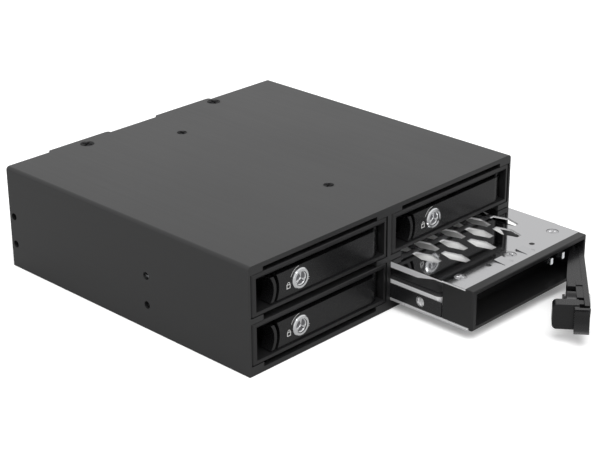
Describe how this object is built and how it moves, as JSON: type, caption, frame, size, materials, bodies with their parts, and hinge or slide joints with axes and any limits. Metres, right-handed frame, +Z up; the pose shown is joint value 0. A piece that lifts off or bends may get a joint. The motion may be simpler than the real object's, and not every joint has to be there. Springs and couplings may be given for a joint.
{
  "type": "hot swap drive cage",
  "caption": "Black steel bay cage with removable drive trays in two rows, each with a swing lever, thumb latch and key lock; one tray is pulled out with its lever open.",
  "frame": {"origin": "centre of the underside of the cage's base pan, not counting the tray that is pulled out", "axes": "+X to the right seen from the front, +Y to the back of the cage, +Z up; the bezels face -Y"},
  "size_m": [0.146, 0.2109, 0.0425],
  "materials": {
    "cage_paint": "satin black powder coat",
    "zinc_steel": "zinc plated, dull",
    "runner_plastic": "plain white acetal",
    "board": "green solder mask",
    "connector_plastic": "matt black nylon",
    "fan_plastic": "matt black",
    "black_screw": "black oxide",
    "bezel_plastic": "fine matt grain",
    "lever_plastic": "satin black",
    "tray_steel": "bright cold rolled steel",
    "pin_steel": "plain",
    "clear_plastic": "clear, polished",
    "lock_chrome": "polished",
    "drive_aluminium": "fine cast",
    "drive_steel": "satin stainless"
  },
  "bodies": {
    "cage": {"outer_shell": "cage_paint", "base_pan": "cage_paint", "front_frame": "cage_paint", "centre_wall": "zinc_steel", "middle_shelves": "zinc_steel", "guide_runners": "runner_plastic", "backplane_board": "board", "drive_sockets": "connector_plastic", "data_ports": "connector_plastic", "power_ports": "connector_plastic", "rear_panel": "cage_paint", "fan_frames": "fan_plastic", "case_screws": "black_screw", "top_rivets": "black_screw"},
    "fan_left": {"fan_rotor_left": "fan_plastic"},
    "fan_right": {"fan_rotor_right": "fan_plastic"},
    "tray_upper_left": {"bezel_upper_left": "bezel_plastic", "tray_pan_upper_left": "tray_steel", "tray_cover_upper_left": "tray_steel", "cover_rivets_upper_left": "tray_steel", "hinge_pin_upper_left": "pin_steel", "light_pipes_upper_left": "clear_plastic"},
    "lever_upper_left": {"lever_upper_left": "lever_plastic", "lock_body_upper_left": "lock_chrome"},
    "latch_upper_left": {"latch_upper_left": "lever_plastic"},
    "plug_upper_left": {"lock_plug_upper_left": "lock_chrome"},
    "tray_lower_left": {"bezel_lower_left": "bezel_plastic", "tray_pan_lower_left": "tray_steel", "tray_cover_lower_left": "tray_steel", "cover_rivets_lower_left": "tray_steel", "hinge_pin_lower_left": "pin_steel", "light_pipes_lower_left": "clear_plastic"},
    "lever_lower_left": {"lever_lower_left": "lever_plastic", "lock_body_lower_left": "lock_chrome"},
    "latch_lower_left": {"latch_lower_left": "lever_plastic"},
    "plug_lower_left": {"lock_plug_lower_left": "lock_chrome"},
    "tray_upper_right": {"bezel_upper_right": "bezel_plastic", "tray_pan_upper_right": "tray_steel", "tray_cover_upper_right": "tray_steel", "cover_rivets_upper_right": "tray_steel", "hinge_pin_upper_right": "pin_steel", "light_pipes_upper_right": "clear_plastic"},
    "lever_upper_right": {"lever_upper_right": "lever_plastic", "lock_body_upper_right": "lock_chrome"},
    "latch_upper_right": {"latch_upper_right": "lever_plastic"},
    "plug_upper_right": {"lock_plug_upper_right": "lock_chrome"},
    "tray_lower_right": {"bezel_lower_right": "bezel_plastic", "tray_pan_lower_right": "tray_steel", "tray_cover_lower_right": "tray_steel", "cover_rivets_lower_right": "tray_steel", "hinge_pin_lower_right": "pin_steel", "light_pipes_lower_right": "clear_plastic", "drive_case": "drive_aluminium", "drive_cover": "drive_steel", "drive_plug": "connector_plastic", "drive_screws": "pin_steel"},
    "lever_lower_right": {"lever_lower_right": "lever_plastic", "lock_body_lower_right": "lock_chrome"},
    "latch_lower_right": {"latch_lower_right": "lever_plastic"},
    "plug_lower_right": {"lock_plug_lower_right": "lock_chrome"}
  },
  "joints": [
    {"name": "fan_left_spin", "type": "hinge", "parent": "cage", "child": "fan_left", "pos_m": [-0.05, 0.0615, 0.02125], "axis": [0, 1, 0], "continuous": true},
    {"name": "fan_right_spin", "type": "hinge", "parent": "cage", "child": "fan_right", "pos_m": [0.05, 0.0615, 0.02125], "axis": [0, 1, 0], "continuous": true},
    {"name": "tray_upper_left_slide", "type": "slide", "parent": "cage", "child": "tray_upper_left", "axis": [0, -1, 0], "range_m": [0, 0.14]},
    {"name": "lever_upper_left_swing", "type": "hinge", "parent": "tray_upper_left", "child": "lever_upper_left", "pos_m": [-0.0036, -0.0636, 0.0295], "axis": [0, 0, 1], "range_deg": [0, 38]},
    {"name": "latch_upper_left_press", "type": "slide", "parent": "lever_upper_left", "child": "latch_upper_left", "axis": [1, 0, 0], "range_m": [0, 0.0012], "stiffness_N_per_m": 500, "springref_m": -0.002},
    {"name": "plug_upper_left_turn", "type": "hinge", "parent": "lever_upper_left", "child": "plug_upper_left", "pos_m": [-0.0469, -0.063, 0.0295], "axis": [0, -1, 0], "range_deg": [0, 90]},
    {"name": "tray_lower_left_slide", "type": "slide", "parent": "cage", "child": "tray_lower_left", "axis": [0, -1, 0], "range_m": [0, 0.14]},
    {"name": "lever_lower_left_swing", "type": "hinge", "parent": "tray_lower_left", "child": "lever_lower_left", "pos_m": [-0.0036, -0.0636, 0.01075], "axis": [0, 0, 1], "range_deg": [0, 38]},
    {"name": "latch_lower_left_press", "type": "slide", "parent": "lever_lower_left", "child": "latch_lower_left", "axis": [1, 0, 0], "range_m": [0, 0.0012], "stiffness_N_per_m": 500, "springref_m": -0.002},
    {"name": "plug_lower_left_turn", "type": "hinge", "parent": "lever_lower_left", "child": "plug_lower_left", "pos_m": [-0.0469, -0.063, 0.01075], "axis": [0, -1, 0], "range_deg": [0, 90]},
    {"name": "tray_upper_right_slide", "type": "slide", "parent": "cage", "child": "tray_upper_right", "axis": [0, -1, 0], "range_m": [0, 0.14]},
    {"name": "lever_upper_right_swing", "type": "hinge", "parent": "tray_upper_right", "child": "lever_upper_right", "pos_m": [0.0694, -0.0636, 0.0295], "axis": [0, 0, 1], "range_deg": [0, 38]},
    {"name": "latch_upper_right_press", "type": "slide", "parent": "lever_upper_right", "child": "latch_upper_right", "axis": [1, 0, 0], "range_m": [0, 0.0012], "stiffness_N_per_m": 500, "springref_m": -0.002},
    {"name": "plug_upper_right_turn", "type": "hinge", "parent": "lever_upper_right", "child": "plug_upper_right", "pos_m": [0.0261, -0.063, 0.0295], "axis": [0, -1, 0], "range_deg": [0, 90]},
    {"name": "tray_lower_right_slide", "type": "slide", "parent": "cage", "child": "tray_lower_right", "axis": [0, -1, 0], "range_m": [-0.039, 0.101]},
    {"name": "lever_lower_right_swing", "type": "hinge", "parent": "tray_lower_right", "child": "lever_lower_right", "pos_m": [0.0694, -0.1026, 0.01075], "axis": [0, 0, 1], "range_deg": [-38, 0]},
    {"name": "latch_lower_right_press", "type": "slide", "parent": "lever_lower_right", "child": "latch_lower_right", "axis": [0.788, 0.6157, 0], "range_m": [0, 0.0012], "stiffness_N_per_m": 500, "springref_m": -0.002},
    {"name": "plug_lower_right_turn", "type": "hinge", "parent": "lever_lower_right", "child": "plug_lower_right", "pos_m": [0.03491, -0.12879, 0.01075], "axis": [0.6157, -0.788, 0], "range_deg": [0, 90]}
  ]
}
